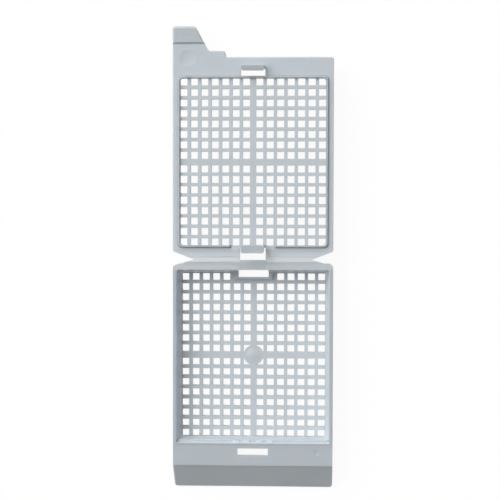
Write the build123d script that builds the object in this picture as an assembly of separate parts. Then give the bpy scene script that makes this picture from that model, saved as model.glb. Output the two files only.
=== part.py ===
from build123d import *

import math
import os

# Tissue cassette, moulded in one piece and shown open: a perforated tray, a perforated lid,
# and the thin web between them that bends as the hinge.
# Units are millimetres. While it is being modelled, Z = 0 is the face where tray and lid meet,
# Y = 0 is the line the lid folds about, the lid lies towards +Y and the tray towards -Y.
# The last step moves everything so that the origin is under the middle of the tray's grid.

# Overall sizes
width = 28.5                    # across tray and lid
tray_length = 41.4              # fold line to the foot of the writing face
tray_height = 5.4               # meeting face to underside
lid_thickness = 1.1
lid_setback = 0.95              # lid's front edge to the top edge of the writing face, when shut

# Perforated grids, one pattern for both halves
hole_side = 1.24
hole_pitch = 1.85
spine_across = 0.49             # extra width of the middle bar that runs along the part
spine_along = 0.57              # extra width of the middle bar that runs across it
tray_grid_shift = 0.1           # middle of the floor to middle of the tray's grid, away from the hinge
lid_grid_shift = 0.16           # the lid's grid is this much nearer the hinge than the tray's
floor_thickness = 1.0

# Tray walls
side_rim = 0.63                 # wall width at the meeting face
rear_rim = 1.85                 # fold line to the chamber's rear edge
rear_wall_face = 0.9            # fold line to the outside of the rear wall
front_depth = 8.65              # chamber's front edge to the foot of the writing face
side_lean = 0.68                # how far side and rear walls lean in, rim to floor
front_lean = 0.15
front_seat = 0.45               # shelf in the front wall, where the lid's rib comes down
seat_lean = 0.15                # how far the face behind the shelf leans back, like the rib
chamber_corner = 0.4
wall_thickness = 1.0            # ledge and writing face
hollow_side_wall = 1.13         # side walls beside the hollow under the writing face
plan_corner = 0.5

# Ledge and writing face in front of the chamber
lip_width = 0.25
ledge_drop = 0.08               # step from the lip down to the ledge, from side to side
foot_height = 0.67              # upright foot under the writing face

# Living hinge
axis_height = 0.02              # joint axis above the meeting face
bend_radius = 0.3               # joint axis to the middle of the web
web_thickness = 0.25
trough_half = 1.78              # half width of the shallow trough along the fold
tray_notch = 1.15               # how far each notch opens at the tray's side
lid_notch = 1.45
side_notch = 3.75               # how far each notch reaches in from the side
shoulder_depth = 1.1            # thickness of the tray's rim behind its rear wall
lid_relief = 1.3                # the lid's underside thins from here to the web

# Rib round the lid's grid, which nests in the chamber
rib_clearance = 0.15
rib_height = 0.8
rib_root = 0.62
rib_lean = 0.2
rib_corner = 0.75
rib_gap_clearance = 0.3         # opening in the rib round the rear hook, past the collar's ends
rib_gap_slope = 0.47            # how far each end of the opening leans back over the rib's height

# Hooks on the lid and the slots that take them
hook_width = 4.1
hook_shank = 0.48
hook_fall = 0.45                # each hook's end slopes down by this much from its back to its point
slot_side_gap = 0.68            # slots are this much wider than the hooks, each side
slot_reach = 1.3                # front slot, hinge side to front side
hook_clearance = 0.1
front_slot_gap = 0.95           # chamber's front edge to the front slot
front_undercut = 0.4            # how far the front barb reaches under the ledge
front_hook_height = 2.4
rear_hook_root = 2.13           # fold line to the rear hook's hinge side
rear_hook_height = 2.7
rear_barb_reach = 0.93
rear_barb_root = 1.2            # catch face of the rear barb, at the shank
rear_barb_tip = 1.9             # and at its point
barb_corner = 0.25
front_window_gap = 0.12         # front window is this much wider than its hook, each side
rear_window_gap = 0.23
front_window_reach = 0.28       # front window starts this far behind the chamber's front edge
rear_slot_front = 3.37          # fold line to the rear slot's front side
tongue_end = 0.08               # fold line to the end of the tongue
collar_margin = 0.77            # raised collar round the rear slot, at its two ends
collar_reach = 0.45
collar_rise = 0.5
collar_corner = 0.4
collar_edge = 0.15              # bevel round its top
bar_depth = 0.95                # underside of the bar that the rear hook catches

# Small features
boss_radius = 1.25              # low domed boss in the middle of the floor
boss_rise = 0.15
film_radius = 1.8               # thin disc round it, level with the floor
film_thickness = 0.35
film_edge = 0.15                # its thickness at the edge
film_taper = 0.5                # width of its tapered border
wedge_count = 4                 # on the shelf, in line with the middle columns of holes
wedge_width = 1.1
wedge_foot = 0.2                # how far each wedge reaches out over the shelf
edge_round = 0.15
tab_body_width = 9.25           # tab, from the lid's left side and past its front edge
tab_body_out = 1.1
tab_tip_width = 4.05
tab_tip_out = 5.4
tab_slope_run = 2.3             # width of the sloped side between tip and body
tab_step_lean = 0.2
tab_step_corner = 0.4
tab_foot_corner = 0.2           # where the body's short side meets the lid's front edge
tab_slope_corner = 0.65         # where the sloped side meets the body
tab_tip_corner = 0.9            # where the sloped side meets the tip
pad_length = 3.1                # raised pad at the tab's tip
pad_lean = 0.3                  # the step up to it leans back
pad_rise_rear = 0.35
pad_rise_tip = 0.8
pad_round = 0.4                 # on its outer edges
witness_depth = 0.1             # shallow dished marks of the mould
witness_radius = 1.5
witness_side = 2.65             # from the lid's left side
witness_back = 0.2              # behind the lid's front edge
ledge_witness_radius = 0.6
ledge_witness_side = 2.85       # from the tray's right side
ledge_witness_out = 1.6         # past the chamber's front edge

# Working values, with no size of the object in them
over = 1.0                      # how far a cutter reaches past what it cuts
lap = 0.2                       # the same where room is short, and how deep added forms start
near = 0.01                     # tolerance for finding edges and corners

# Sizes worked out from those above
half = width / 2
chamber_front = tray_length - front_depth
ledge_edge = tray_length - (tray_height - ledge_drop - foot_height)      # a 45 degree face
lid_length = ledge_edge - lid_setback
floor_rear = rear_rim + side_lean
floor_front = chamber_front - front_seat - front_lean
tray_grid_centre = (floor_rear + floor_front) / 2 + tray_grid_shift
lid_grid_centre = tray_grid_centre - lid_grid_shift
web_half_width = half - side_notch
slot_width = hook_width + 2 * slot_side_gap
front_slot = chamber_front + front_slot_gap
front_window = chamber_front - front_window_reach
tab_body_edge = tab_body_width - half
tab_slope_top = tab_tip_width - half
tab_slope_foot = tab_slope_top + tab_slope_run
tab_body_reach = lid_length + tab_body_out
tab_tip_reach = lid_length + tab_tip_out
pad_start = tab_tip_reach - pad_length
witness_place = (witness_side - half, lid_length - witness_back)
ledge_witness_place = (half - ledge_witness_side, -chamber_front - ledge_witness_out)
web_half = math.pi * bend_radius / 2          # a bend of this length closes to a half circle
web_top = axis_height - bend_radius + web_thickness / 2
web_bottom = web_top - web_thickness
floor_top = floor_thickness - tray_height
slope_top = ledge_edge - ledge_drop           # where the writing face would meet the meeting face
seat_depth = rib_height + rib_clearance
collar_half = slot_width / 2 + collar_margin
rib_gap = 2 * (collar_half + rib_gap_clearance)
front_window_half = hook_width / 2 + front_window_gap
rear_window_half = hook_width / 2 + rear_window_gap


def hole_count(room, spine):
    """How many holes fit in a row of this length, the same number each side of the middle bar."""
    return 2 * int((room - spine - hole_side) / (2 * hole_pitch) + 0.5)


holes_across = hole_count(width - 2 * (side_rim + side_lean), spine_across)
holes_along = hole_count(floor_front - floor_rear, spine_along)


def grid_places(count, spine):
    """Hole centres along one axis, with a wider bar in the middle."""
    middle = (count - 1) / 2
    return [(i - middle) * hole_pitch + math.copysign(spine / 2, i - middle) for i in range(count)]


def side_section(*edges):
    """Face in the Y-Z plane from a closed run of edges."""
    return Plane.YZ * make_face(list(edges))


def side_polygon(*points):
    """Face in the Y-Z plane with straight sides."""
    return Plane.YZ * make_face(Polyline(*points, close=True))


def across(face, reach):
    """Solid of a Y-Z face, reaching equally to both sides of X = 0."""
    return extrude(face, reach, both=True)


def block(x0, x1, y0, y1, z0, z1):
    """Box between two limits along each axis."""
    return Pos((x0 + x1) / 2, (y0 + y1) / 2, (z0 + z1) / 2) * Box(x1 - x0, y1 - y0, z1 - z0)


def hole_tools(centre_y, bottom, top, skipped):
    """Square cutters of one grid. skipped(x, y) leaves a place whole."""
    columns = grid_places(holes_across, spine_across)
    rows = grid_places(holes_along, spine_along)
    cutter = Box(hole_side, hole_side, top - bottom)
    middle = (top + bottom) / 2
    return [
        Pos(x, centre_y + y, middle) * cutter
        for y in rows
        for x in columns
        if not skipped(x, centre_y + y)
    ]


def rounded_corners(face, corners, radius):
    """Round the corners of a flat face that stand at the given points."""
    chosen = [v for v in face.vertices() if any(math.dist((v.X, v.Y), c) < near for c in corners)]
    return fillet(chosen, radius)


def plan_of_tray():
    """Plan of the tray: full width, with a V notch cut towards each end of the fold line."""
    corners = [
        (web_half_width, 0), (half, -tray_notch), (half, -tray_length),
        (-half, -tray_length), (-half, -tray_notch), (-web_half_width, 0),
    ]
    return rounded_corners(make_face(Polyline(*corners, close=True)), corners[1:5], plan_corner)


def plan_of_lid():
    """Plan of the lid: the other side of the notches, and the thumb tab with its sloped side."""
    tab_foot = (tab_body_edge + tab_step_lean, lid_length)
    corners = [
        (web_half_width, 0), (half, lid_notch), (half, lid_length),
        tab_foot, (tab_body_edge, tab_body_reach),
        (tab_slope_foot, tab_body_reach), (tab_slope_top, tab_tip_reach), (-half, tab_tip_reach),
        (-half, lid_notch), (-web_half_width, 0),
    ]
    face = make_face(Polyline(*corners, close=True))
    face = rounded_corners(face, [corners[1], corners[2], corners[7], corners[8]], plan_corner)
    face = rounded_corners(face, [corners[3]], tab_foot_corner)
    face = rounded_corners(face, [corners[4]], tab_step_corner)
    face = rounded_corners(face, [corners[5]], tab_slope_corner)
    return rounded_corners(face, [corners[6]], tab_tip_corner)


def trough(side):
    """Section of the shallow trough, from the meeting face down to the web."""
    return TangentArc((side * web_half, web_top), (side * trough_half, 0), tangent=(side, 0))


def tray_shell():
    """Outside of the tray: its side section pulled across the width, then cut to its plan."""
    foot = -tray_length
    section = side_section(
        trough(-1),
        Polyline(
            (-trough_half, 0),
            (-slope_top, 0),
            (foot, slope_top - tray_length),
            (foot, -tray_height),
            (-rear_wall_face, -tray_height),
            (-rear_wall_face, -shoulder_depth),
            (-web_half, web_bottom),
            (-web_half, web_top),
        ),
    )
    shell = across(section, half)
    front = [e for e in shell.edges() if e.center().Y < foot + near]
    shell = fillet([e for e in front if abs(e.center().X) > half - near], plan_corner)

    # Outer edges of rims and writing face: at the sides, not upright, and off the underside
    sides = [e for e in shell.edges() if abs(e.center().X) > half - plan_corner]
    upper = [e for e in sides if e.center().Y < -rear_rim and e.center().Z > near - tray_height]
    rims = [e for e in upper if abs((e % 0.5).Z) < 1 - near]
    shell = fillet(rims, edge_round)
    return shell & extrude(plan_of_tray(), tray_height, both=True)


def chamber():
    """Inside of the tray: narrower at the floor, with a shelf under the front rim."""
    def outline(inset_side, inset_front, z):
        rear = -rear_rim - inset_side
        front = -chamber_front + front_seat + inset_front
        wide = 2 * (half - side_rim - inset_side)
        sketch = RectangleRounded(wide, rear - front, chamber_corner)
        return Pos(0, (rear + front) / 2, z) * sketch

    grow = -over / floor_top
    cavity = loft([
        outline(side_lean, front_lean, floor_top),
        outline(-side_lean * grow, -front_lean * grow, over),
    ])
    seat = side_polygon(
        (-chamber_front - seat_lean * over / seat_depth, over),
        (-chamber_front + seat_lean, -seat_depth),
        (-chamber_front + front_seat + front_lean, -seat_depth),
        (-chamber_front + front_seat + front_lean, over),
    )
    return cavity + across(seat, half - side_rim)


def ledge_step():
    """Lowers the ledge by a small step in front of the lip."""
    lip = -chamber_front - lip_width
    return block(-half - over, half + over, -tray_length - over, lip, -ledge_drop, over)


def front_hollow():
    """Hollow under the ledge and the writing face, open below."""
    rear = front_slot - front_undercut - hook_clearance
    top = -ledge_drop - wall_thickness
    slant = ledge_edge - ledge_drop - wall_thickness * math.sqrt(2)
    foot = tray_length - wall_thickness
    hollow = side_polygon(
        (-rear, top),
        (-(slant - top), top),
        (-foot, slant - foot),
        (-foot, -tray_height - over),
        (-rear, -tray_height - over),
    )
    return across(hollow, half - hollow_side_wall)


def rear_slot():
    """Slot through floor and rear wall, upright up to the rim and under the bar that the hook catches."""
    reach = slot_width / 2
    below = -tray_height - over
    return [
        block(-reach, reach, -rear_slot_front, -rear_rim, below, over),
        block(-reach, reach, -rear_rim - lap, -rear_wall_face + over, below, -bar_depth),
    ]


def slot_collar():
    """Raised collar round the rear slot, standing on the floor against the rear wall."""
    front = -rear_slot_front - collar_reach
    top = floor_top + collar_rise
    collar = block(-collar_half, collar_half, front, -rear_rim, floor_top - lap, top)
    upright = [e for e in collar.edges() if abs((e % 0.5).Z) > 1 - near]
    collar = fillet([e for e in upright if e.center().Y < front + near], collar_corner)
    border = [e for e in collar.edges() if e.center().Z > top - near and e.center().Y < -rear_rim - near]
    return chamfer(border, collar_edge)


def centring_wedge(x):
    """Small wedge on the shelf that leans against the lip and centres the lid's rib."""
    foot = -chamber_front + seat_lean + wedge_foot
    buried = -chamber_front - lap
    low = -seat_depth - lap
    wedge = side_polygon(
        (buried, 0), (-chamber_front, 0), (foot, -seat_depth), (foot, low), (buried, low),
    )
    return Pos(x, 0, 0) * across(wedge, wedge_width / 2)


def cap(radius, height):
    """Shallow spherical cap on the plane Z = 0, and its mirror image below."""
    ball = (radius ** 2 + height ** 2) / (2 * height)
    sphere = Rot(90, 0, 0) * Sphere(ball)     # its poles lie level, clear of the cap
    upper = Pos(0, 0, height - ball) * sphere
    lower = Pos(0, 0, ball - height) * sphere
    return upper & lower


def floor_boss():
    """Low domed boss in the middle of the floor, with the thin disc that closes the holes' corners."""
    dome = Pos(0, 0, floor_top) * cap(boss_radius, boss_rise)
    post = Pos(0, 0, floor_top) * Cylinder(
        boss_radius, floor_thickness, align=(Align.CENTER, Align.CENTER, Align.MAX))
    outline = Polyline(
        (0, floor_top), (film_radius, floor_top), (film_radius, floor_top - film_edge),
        (film_radius - film_taper, floor_top - film_thickness), (0, floor_top - film_thickness), close=True,
    )
    return post + revolve(Plane.XZ * make_face(outline), Axis.Z) + dome


def dish(place, z, radius):
    """Cutter for a shallow dished mark in a level face."""
    return Pos(*place, z) * cap(radius, witness_depth)


def build_tray():
    """Tray with its tongue, collar, slots, wedges and perforated floor."""
    tray = tray_shell() - chamber() - ledge_step() - front_hollow()

    # The middle of the fold belongs to the tray: a flat tongue level with the web
    tongue = rear_window_half
    tray += block(-tongue, tongue, -web_half, -tongue_end, web_bottom, web_top)
    tray -= block(-tongue, tongue, -rear_rim - over, -web_half, web_top, over)

    # Collar, then the slots for the two hooks
    tray += slot_collar()
    reach = slot_width / 2
    below = -ledge_drop - wall_thickness - over
    front_tool = block(-reach, reach, -front_slot - slot_reach, -front_slot, below, over)
    tray -= rear_slot() + [front_tool]

    # Wedges on the shelf
    columns = grid_places(holes_across, spine_across)
    first = (holes_across - wedge_count) // 2
    tray += [centring_wedge(x) for x in columns[first:first + wedge_count]]

    # Perforated floor: the collar takes the place of the middle holes in the row beside the hinge
    def under_collar(x, y):
        reach = hole_side / 2
        return abs(x) < collar_half + reach and y > -rear_slot_front - collar_reach - reach

    tray -= hole_tools(-tray_grid_centre, -tray_height - over, floor_top + lap, under_collar)
    tray += Pos(0, -tray_grid_centre, 0) * floor_boss()
    return tray - dish(ledge_witness_place, -ledge_drop, ledge_witness_radius)


def lid_plate():
    """The lid's plate, thinned from below and hollowed from above towards the web."""
    plate = extrude(plan_of_lid(), -lid_thickness)
    top = [e for e in plate.edges() if e.center().Z > -near]
    plate = fillet([e for e in top if e.center().Y > lid_notch + 2 * plan_corner], edge_round)
    above = side_section(
        trough(1),
        Polyline(
            (trough_half, 0), (trough_half, over), (-over, over), (-over, web_top), (web_half, web_top),
        ),
    )
    below = side_polygon(
        (web_half, web_bottom), (lid_relief, -lid_thickness), (lid_relief, -lid_thickness - over),
        (-over, -lid_thickness - over), (-over, web_bottom),
    )
    behind = block(-half, half, -over, web_half, -over, over)
    return plate - [across(above, width), across(below, width), behind]


def frame_rib():
    """Rib round the lid's grid, narrower at its top, with an opening for the rear hook."""
    rear = rear_rim + rib_clearance
    front = chamber_front - rib_clearance
    wide = 2 * (half - side_rim - rib_clearance)

    def ring(inset, z):
        outline = RectangleRounded(wide - 2 * inset, front - rear - 2 * inset, rib_corner)
        return Pos(0, (front + rear) / 2, z) * outline

    rib = loft([ring(0, -lap), ring(rib_lean, rib_height)])
    rib -= loft([ring(rib_root, -lap), ring(rib_root - rib_lean, rib_height)])
    rise = rib_height + lap
    foot = rib_gap / 2
    head = foot + rib_gap_slope * rise / rib_height
    gap = Plane.XZ * make_face(Polyline((-foot, 0), (foot, 0), (head, rise), (-head, rise), close=True))
    return rib - extrude(gap, -(rear + rib_root + over))


def front_hook():
    """Front hook, a thin upright blade whose barb points to the hinge."""
    face = front_slot + hook_clearance
    back = face + hook_shank
    point = front_slot - front_undercut
    catch = ledge_drop + wall_thickness + hook_clearance
    blade = across(side_polygon(
        (back, -lap), (back, front_hook_height), (point, front_hook_height - hook_fall),
        (point, catch), (face, catch), (face, -lap),
    ), hook_width / 2)
    return blade - barb_corners(point, front_hook_height)


def rear_hook():
    """Rear hook: its long barb reaches under the tray's bar, and swings clear of it as the lid turns."""
    face = rear_hook_root
    back = face + hook_shank
    point = face - rear_barb_reach
    blade = across(side_polygon(
        (back, -lap), (back, rear_hook_height), (point, rear_hook_height - hook_fall),
        (point, rear_barb_tip), (face, rear_barb_root), (face, -lap),
    ), hook_width / 2)
    return blade - barb_corners(point, rear_hook_height)


def barb_corners(point, top):
    """Cutters for the two corners at a barb's point, upwards from the lid's plate."""
    tools = []
    for side in (-1, 1):
        x = side * hook_width / 2
        inner = x - side * barb_corner
        outer = x + side * over
        corner = make_face(Polyline(
            (inner, point), (x, point + barb_corner), (outer, point + barb_corner),
            (outer, point - over), (inner, point - over), close=True,
        ))
        tools.append(extrude(corner, top + over))
    return tools


def thumb_pad():
    """Raised pad on the inner side of the tab's tip, thicker towards the tip."""
    tip = tab_tip_reach
    outline = plan_of_lid() & Pos(-half, (pad_start + tip) / 2) * Rectangle(width, tip - pad_start)
    prism = extrude(outline, pad_rise_tip + over, both=True)
    sunk = -pad_round - lap
    wedge = across(side_polygon(
        (pad_start, sunk), (pad_start, 0), (pad_start + pad_lean, pad_rise_rear),
        (tip, pad_rise_tip), (tip, sunk),
    ), half)
    pad = prism & wedge
    top = max(pad.faces(), key=lambda face: face.normal_at().Z)
    return fillet([e for e in top.edges() if e.center().Y > pad_start + pad_lean + near], pad_round)


def build_lid():
    """Lid with its rib, windows, holes, hooks and thumb pad."""
    lid = lid_plate() + frame_rib()

    # Windows beside the two hooks, through plate and rib
    below = -lid_thickness - over
    above = rib_height + over
    front_face = front_slot + hook_clearance
    lid -= [
        block(-front_window_half, front_window_half, front_window, front_face, below, above),
        block(-rear_window_half, rear_window_half, 0, rear_hook_root, below, above),
    ]
    lid -= hole_tools(lid_grid_centre, below, lap, lambda x, y: False)
    lid += [front_hook(), rear_hook(), thumb_pad()]
    return lid - dish(witness_place, 0, witness_radius)


def web_strip(side):
    """One half of the living hinge, between the tongue and the side notch."""
    low, high = sorted((side * rear_window_half, side * half))
    strip = block(low, high, -web_half, web_half, web_bottom, web_top)
    plans = extrude(plan_of_tray(), tray_height, both=True) + extrude(plan_of_lid(), tray_height, both=True)
    return strip & plans


pieces = {
    "base_tray": build_tray(),
    "lid": build_lid(),
    "hinge_web_left": web_strip(-1),
    "hinge_web_right": web_strip(1),
}
os.makedirs("parts", exist_ok=True)
for name, piece in pieces.items():
    placed = Pos(0, tray_grid_centre, tray_height) * piece
    placed.label = name
    export_step(placed, os.path.join("parts", name + ".step"))
    print(name, placed.is_valid, len(placed.solids()), round(placed.volume, 2))
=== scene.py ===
import math

import bmesh
import bpy
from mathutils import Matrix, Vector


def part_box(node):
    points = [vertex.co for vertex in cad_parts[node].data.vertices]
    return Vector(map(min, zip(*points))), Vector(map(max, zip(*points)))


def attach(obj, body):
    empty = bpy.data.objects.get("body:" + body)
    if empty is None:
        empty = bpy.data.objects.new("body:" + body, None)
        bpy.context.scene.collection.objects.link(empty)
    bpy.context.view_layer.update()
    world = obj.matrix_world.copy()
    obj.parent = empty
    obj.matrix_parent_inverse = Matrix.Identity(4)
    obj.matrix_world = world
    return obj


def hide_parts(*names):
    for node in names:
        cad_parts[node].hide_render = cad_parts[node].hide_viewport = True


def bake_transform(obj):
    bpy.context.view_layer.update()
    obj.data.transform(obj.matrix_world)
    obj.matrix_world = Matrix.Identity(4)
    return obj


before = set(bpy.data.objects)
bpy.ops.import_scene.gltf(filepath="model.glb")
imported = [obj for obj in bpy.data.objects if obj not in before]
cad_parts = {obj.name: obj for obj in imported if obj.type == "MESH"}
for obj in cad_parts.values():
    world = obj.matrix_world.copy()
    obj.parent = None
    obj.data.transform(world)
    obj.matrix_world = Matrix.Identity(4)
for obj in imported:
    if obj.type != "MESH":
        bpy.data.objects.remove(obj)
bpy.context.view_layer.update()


# Tray. Perforated floor, leaning walls, ledge and writing face are one shot of acetal (POM),
# injection moulded with the lid and the hinge. Its shape is all in the frame, so the node keeps
# its mesh and takes its finish in its slot.
acetal_tint = "#BAC1C6"         # grey-blue, and opaque where it is thick
acetal_ior = 1.48
acetal_roughness = 0.42         # satin, from a spark-eroded mould
roughness_change = 0.06         # between the duller and the glossier patches that the melt leaves
acetal_depth = 0.7              # share of the light that goes into the plastic and comes out again
light_travel = 0.0007           # metres, how far it spreads on its way, which softens small edges
flow_mark = 0.006               # metres from one tone of the melt to the next
flow_change = 0.05              # share by which the tone changes
skin_grain = 0.00035            # metres, coarser than the real eroded skin, so that it shows
skin_relief = 0.00002
skin_strength = 0.06
chamber_painted_light = 1.35             # painted light: the chamber's inner walls are painted paler than its floor
shelf_painted_shade = 0.88               # painted shade: ledge and shelf are painted deeper
rim_painted_shade = 0.93                 # and the rims, on top of the deep walls, once more, as painted shade
slope_painted_shade = 0.88               # painted shade on the writing face
hinge_painted_light = 1.2                # painted light: towards the thin hinge the plastic is painted paler


def colour(hex_value):
    """Linear colour of an sRGB hex value."""
    parts = [int(hex_value[i:i + 2], 16) / 255 for i in (1, 3, 5)]
    return [c / 12.92 if c <= 0.04045 else ((c + 0.055) / 1.055) ** 2.4 for c in parts] + [1.0]


def add(tree, kind, settings=(), **links):
    """Add a node. settings are its own values, by name or input number; links feed its inputs."""
    node = tree.nodes.new(kind)
    for name, value in dict(settings).items():
        if isinstance(name, int) or name in node.inputs:
            node.inputs[name].default_value = value
        else:
            setattr(node, name, value)
    for name, output in links.items():
        key = int(name[1:]) if name[1:].isdigit() else name.replace("_", " ")
        tree.links.new(output, node.inputs[key])
    return node


def moulded_acetal(name, tint, tones):
    """Satin acetal of one tint, with tones of painted light and painted shade that make some places paler or
    deeper.

    A tone is a factor on the tint and a list of ranges, and it holds where all of its ranges do.
    A range is a direction, the value at which it starts and the value at which it holds fully.
    """
    material = bpy.data.materials.new(name)
    material.use_nodes = True
    tree = material.node_tree
    tree.nodes.clear()
    coordinates = add(tree, "ShaderNodeTexCoord").outputs
    place = coordinates["Object"]
    measures = add(tree, "ShaderNodeSeparateXYZ", Vector=place).outputs
    facing = add(tree, "ShaderNodeSeparateXYZ", Vector=coordinates["Normal"]).outputs
    sideways = add(tree, "ShaderNodeMath", {"operation": "ABSOLUTE"}, _0=measures["X"]).outputs[0]
    directions = {
        "out": sideways,
        "along": measures["Y"],
        "height": measures["Z"],
        "upright": facing["Z"],         # 1 on a level face and 0 on a wall
    }
    flow = add(tree, "ShaderNodeTexNoise", {"Scale": 1 / flow_mark, "Detail": 2.0}, Vector=place)
    shade = add(tree, "ShaderNodeMapRange", {
        "To Min": 1 - flow_change, "To Max": 1.0,
    }, Value=flow.outputs["Fac"]).outputs["Result"]
    gloss = add(tree, "ShaderNodeMapRange", {
        "To Min": acetal_roughness + roughness_change, "To Max": acetal_roughness - roughness_change,
    }, Value=flow.outputs["Fac"]).outputs["Result"]
    for tone, ranges in tones:
        share = None
        for direction, start, full in ranges:
            here = add(tree, "ShaderNodeMapRange", {
                "From Min": start, "From Max": full, "To Min": 0.0, "To Max": 1.0,
            }, Value=directions[direction]).outputs["Result"]
            if share:
                here = add(tree, "ShaderNodeMath", {"operation": "MULTIPLY"}, _0=share, _1=here).outputs[0]
            share = here
        factor = add(tree, "ShaderNodeMapRange", {
            "To Min": 1.0, "To Max": tone,
        }, Value=share).outputs["Result"]
        shade = add(tree, "ShaderNodeMath", {"operation": "MULTIPLY"}, _0=shade, _1=factor).outputs[0]
    toned = add(tree, "ShaderNodeVectorMath", {
        "operation": "SCALE", 0: colour(tint)[:3],
    }, Scale=shade).outputs[0]
    grain = add(tree, "ShaderNodeTexNoise", {"Scale": 1 / skin_grain, "Detail": 3.0}, Vector=place)
    bump = add(tree, "ShaderNodeBump", {
        "Strength": skin_strength, "Distance": skin_relief,
    }, Height=grain.outputs["Fac"])
    skin = add(tree, "ShaderNodeBsdfPrincipled", {
        "IOR": acetal_ior, "Subsurface Weight": acetal_depth,
        "Subsurface Radius": (1.0, 1.0, 1.0), "Subsurface Scale": light_travel,
    }, Base_Color=toned, Roughness=gloss, Normal=bump.outputs["Normal"])
    add(tree, "ShaderNodeOutputMaterial", Surface=skin.outputs["BSDF"])
    return material


# Where each tone of the tray holds, in metres from its ends, its sides and its rim. Every tone is painted
# light or painted shade.
tray_low, tray_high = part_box("base_tray")
rim = tray_high.z
floor_top = 0.0011
slope_start = tray_low.y + 0.0050       # top edge of the writing face
on_wall = ("upright", 0.55, 0.35)
on_level = ("upright", 0.6, 0.8)
on_leaning = ("upright", 0.6, 0.7)
above_floor = ("height", floor_top, floor_top + 0.0003)
above_chamber = ("height", rim - 0.0006, rim - 0.0005)
at_rim = ("height", rim - 0.00006, rim)
inside_sides = ("out", tray_high.x - 0.0002, tray_high.x - 0.0004)
inside_front = ("along", slope_start + 0.0006, slope_start + 0.001)
inside_rear = ("along", tray_high.y - 0.00125, tray_high.y - 0.00145)
before_ledge = ("along", slope_start, slope_start - 0.0004)
beside_hinge = ("along", tray_high.y - 0.0007, tray_high.y)
tray_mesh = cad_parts["base_tray"].data
tray_mesh.materials.clear()
tray_mesh.materials.append(moulded_acetal("moulded_acetal_tray", acetal_tint, [
    (chamber_painted_light, [on_wall, above_floor, inside_sides, inside_front, inside_rear]),
    (shelf_painted_shade, [on_level, above_chamber]),
    (rim_painted_shade, [on_level, at_rim]),
    (slope_painted_shade, [on_leaning, before_ledge]),
    (hinge_painted_light, [on_level, beside_hinge]),
]))


# Lid. A perforated plate with a rib, two hooks and a thumb tab, in the same shot as the tray. The
# plate is painted paler towards the hinge, as painted light, and the rib that stands up on it a shade
# deeper, as painted shade.
plate = rim
# painted shade: the rib is painted a shade deeper than the plate
rib_painted_shade = 0.8

# The frame's rib is a plain upright one. The real one is low, with its outer face bevelled so that
# it guides the lid into the tray, and this copy of the moulding has that. Insets run inwards from
# the rib's outline.
upright_height = 0.0008
upright_outer = (0.00004, 0.0002)       # inset of the outer face at the plate and at the top
upright_inner = (0.00058, 0.00042)
bevel_height = 0.0006
bevel_outer = (0.00004, 0.0003)
bevel_inner = (0.00058, 0.00046)
outline_round = 0.00075                 # radius at the corners of the outline
near = 0.000006                         # a vertex this close to a face lies on it
top_share = 0.99                        # and from this share of the height it lies on the top


def between(ends, share):
    """The value that lies a share of the way from the first end to the second."""
    return ends[0] + (ends[1] - ends[0]) * share


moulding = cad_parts["lid"].data.copy()
moulding.name = "lid_moulding"
crest = [v.co for v in moulding.vertices if abs(v.co.z - plate - upright_height) < near]
half_across = max(p.x for p in crest) + upright_outer[1]
rib_rear = min(p.y for p in crest) - upright_outer[1]
rib_front = max(p.y for p in crest) + upright_outer[1]
middle_along = (rib_rear + rib_front) / 2
half_along = (rib_front - rib_rear) / 2


def inset_of(point):
    """How far a point lies inside the rib's outline, and which ways lead further in."""
    x, y = abs(point.x) - half_across, abs(point.y - middle_along) - half_along
    u, v = x + outline_round, y + outline_round
    round_part = 2 * outline_round ** 2 - (u - v) ** 2
    if round_part > 0:
        inset = (math.sqrt(round_part) - u - v) / 2
        if min(u, v) + inset > -near:
            return inset, (1, 1)
    return (-x, (1, 0)) if x > y else (-y, (0, 1))


on_rib = set()
for vertex in moulding.vertices:
    point = vertex.co
    share = (point.z - plate) / upright_height
    inset, (in_x, in_y) = inset_of(point)
    if not (near < point.z - plate < upright_height + near and 0 < inset < upright_inner[0] + near):
        continue
    on_rib.add(vertex.index)
    new_inset, new_height = inset, bevel_height * share
    if abs(inset - between(upright_outer, share)) < near:
        if share > top_share:
            new_inset = bevel_outer[1]
        else:       # where a window cuts the face
            new_height = bevel_height * (inset - bevel_outer[0]) / (bevel_outer[1] - bevel_outer[0])
    elif abs(inset - between(upright_inner, share)) < near:
        new_inset = between(bevel_inner, share)
    point.x -= math.copysign((new_inset - inset) * in_x, point.x)
    point.y -= math.copysign((new_inset - inset) * in_y, point.y - middle_along)
    point.z = plate + new_height

lid = bpy.data.objects.new(moulding.name, moulding)
bpy.context.scene.collection.objects.link(lid)
towards_hinge = ("along", rib_rear + 0.0003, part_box("hinge_web_left")[1].y)
above_plate = ("height", plate, plate + 0.0001)
moulding.materials.clear()
moulding.materials.append(moulded_acetal("moulded_acetal_lid", acetal_tint, [(hinge_painted_light, [towards_hinge])]))
moulding.materials.append(moulded_acetal("moulded_acetal_rib_painted_shade", acetal_tint, [(rib_painted_shade, [above_plate])]))
for face in moulding.polygons:
    if on_rib.intersection(face.vertices):
        face.material_index = 1
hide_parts("lid")
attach(lid, "lid")


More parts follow.
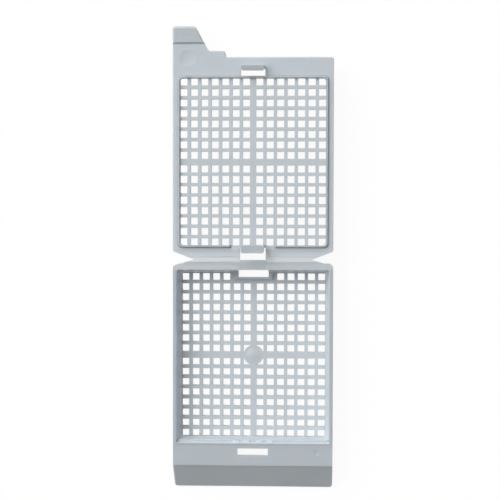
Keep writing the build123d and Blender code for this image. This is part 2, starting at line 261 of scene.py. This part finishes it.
# Hinge, two thin strips of the same shot between tray and lid. Each is one web that bends round
# the fold line, divided finely so that it closes as a smooth curve. Its tint is painted paler than
# the plate beside it, as painted light.
web_painted_light_tint = "#CBD1D4"
bend_steps = 24
weld = 0.0000001                # metres, joins the corners that faces share
acetal_thin = moulded_acetal("moulded_acetal_web_painted_light", web_painted_light_tint, [])
for node in ("hinge_web_left", "hinge_web_right"):
    low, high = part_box(node)
    form = bmesh.new()
    form.from_mesh(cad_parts[node].data)
    bmesh.ops.remove_doubles(form, verts=form.verts, dist=weld)
    for i in range(1, bend_steps):
        y = low.y + (high.y - low.y) * i / bend_steps
        every_part = form.verts[:] + form.edges[:] + form.faces[:]
        bmesh.ops.bisect_plane(form, geom=every_part, plane_co=(0, y, 0), plane_no=(0, 1, 0))
    data = bpy.data.meshes.new(node.replace("hinge_web", "bending_web"))
    form.to_mesh(data)
    form.free()
    strip = bpy.data.objects.new(data.name, data)
    bpy.context.scene.collection.objects.link(strip)
    data.materials.append(acetal_thin)
    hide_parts(node)
    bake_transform(strip)


# Floor, a matt white board that the tray stands on. Seen directly it is nearly as bright as white
# paper on a light table, so the part's shadow and what shows through the holes stay faint.
board_side = 2.0
board_gap = 0.00005             # metres, so that no face of the tray lies in the board itself
board_tint = "#F4F4F4"
board_glow = 0.93               # share of its seen brightness that is its own


def directly_seen(tree):
    """1 on rays from the camera, by way of gloss or clear material too.

    It is 0 on the rays that carry light.
    """
    path = add(tree, "ShaderNodeLightPath").outputs
    direct = add(tree, "ShaderNodeMath", {
        "operation": "MAXIMUM",
    }, _0=path["Is Camera Ray"], _1=path["Is Glossy Ray"]).outputs[0]
    return add(tree, "ShaderNodeMath", {
        "operation": "MAXIMUM",
    }, _0=direct, _1=path["Is Transmission Ray"]).outputs[0]


bpy.ops.mesh.primitive_plane_add(size=board_side, location=(0, 0, -board_gap))
board = bpy.context.object
board.name = "white_board"
paint = bpy.data.materials.new("matt_white_paint")
paint.use_nodes = True
tree = paint.node_tree
tree.nodes.clear()
matt = add(tree, "ShaderNodeBsdfDiffuse", {"Color": colour(board_tint)}).outputs[0]
glow = add(tree, "ShaderNodeEmission", {"Color": (1, 1, 1, 1), "Strength": 1.0}).outputs[0]
seen = add(tree, "ShaderNodeMixShader", {"Fac": board_glow}, _1=matt, _2=glow).outputs[0]
both = add(tree, "ShaderNodeMixShader", _0=directly_seen(tree), _1=matt, _2=seen).outputs[0]
add(tree, "ShaderNodeOutputMaterial", Surface=both)
board.data.materials.append(paint)


# Studio light. A white tent whose wall glows softly, brightest high on the upper left and fading
# evenly round the rest, so that no shadow has a hard edge. Seen directly the tent is plain white.
tent_azimuth = 130              # degrees round from +X, of the tent's brightest place
tent_elevation = 51
tent_fade = 8.0                 # the higher, the narrower the bright part
tent_light = 5.5
room_light = 0.22
turn, rise = math.radians(tent_azimuth), math.radians(tent_elevation)
brightest = (math.cos(rise) * math.cos(turn), math.cos(rise) * math.sin(turn), math.sin(rise))
room = bpy.data.worlds.new("white_tent")
room.use_nodes = True
tree = room.node_tree
tree.nodes.clear()
way = add(tree, "ShaderNodeTexCoord").outputs["Generated"]
facing = add(tree, "ShaderNodeVectorMath", {
    "operation": "DOT_PRODUCT", 1: brightest,
}, _0=way).outputs["Value"]
ahead = add(tree, "ShaderNodeMath", {"operation": "MAXIMUM", 1: 0.0}, _0=facing).outputs[0]
faded = add(tree, "ShaderNodeMath", {"operation": "POWER", 1: tent_fade}, _0=ahead).outputs[0]
level = add(tree, "ShaderNodeMath", {
    "operation": "MULTIPLY_ADD", 1: tent_light, 2: room_light,
}, _0=faded).outputs[0]
lit = add(tree, "ShaderNodeBackground", {"Color": (1, 1, 1, 1)}, Strength=level).outputs[0]
white = add(tree, "ShaderNodeBackground", {"Color": (1, 1, 1, 1), "Strength": 1.0}).outputs[0]
backdrop = add(tree, "ShaderNodeMixShader", _0=directly_seen(tree), _1=lit, _2=white).outputs[0]
add(tree, "ShaderNodeOutputWorld", Surface=backdrop)
bpy.context.scene.world = room
bpy.context.scene.view_settings.view_transform = "Standard"


# Camera, almost straight above the open cassette, a little to its right and turned slightly, so
# that the whole of it stands upright in the view.
camera_place = (0.00973, 0.02813, 0.2588)
camera_turn = tuple(math.radians(v) for v in (-2.03, 2.31, 0.19))
camera_data = bpy.data.cameras.new("camera")
camera_data.lens = 103.06
camera_data.sensor_width = 36
camera_data.clip_start = 0.01
camera = bpy.data.objects.new("camera", camera_data)
camera.rotation_mode = "ZYX"
camera.rotation_euler = camera_turn
camera.location = camera_place
bpy.context.scene.collection.objects.link(camera)
bpy.context.scene.camera = camera
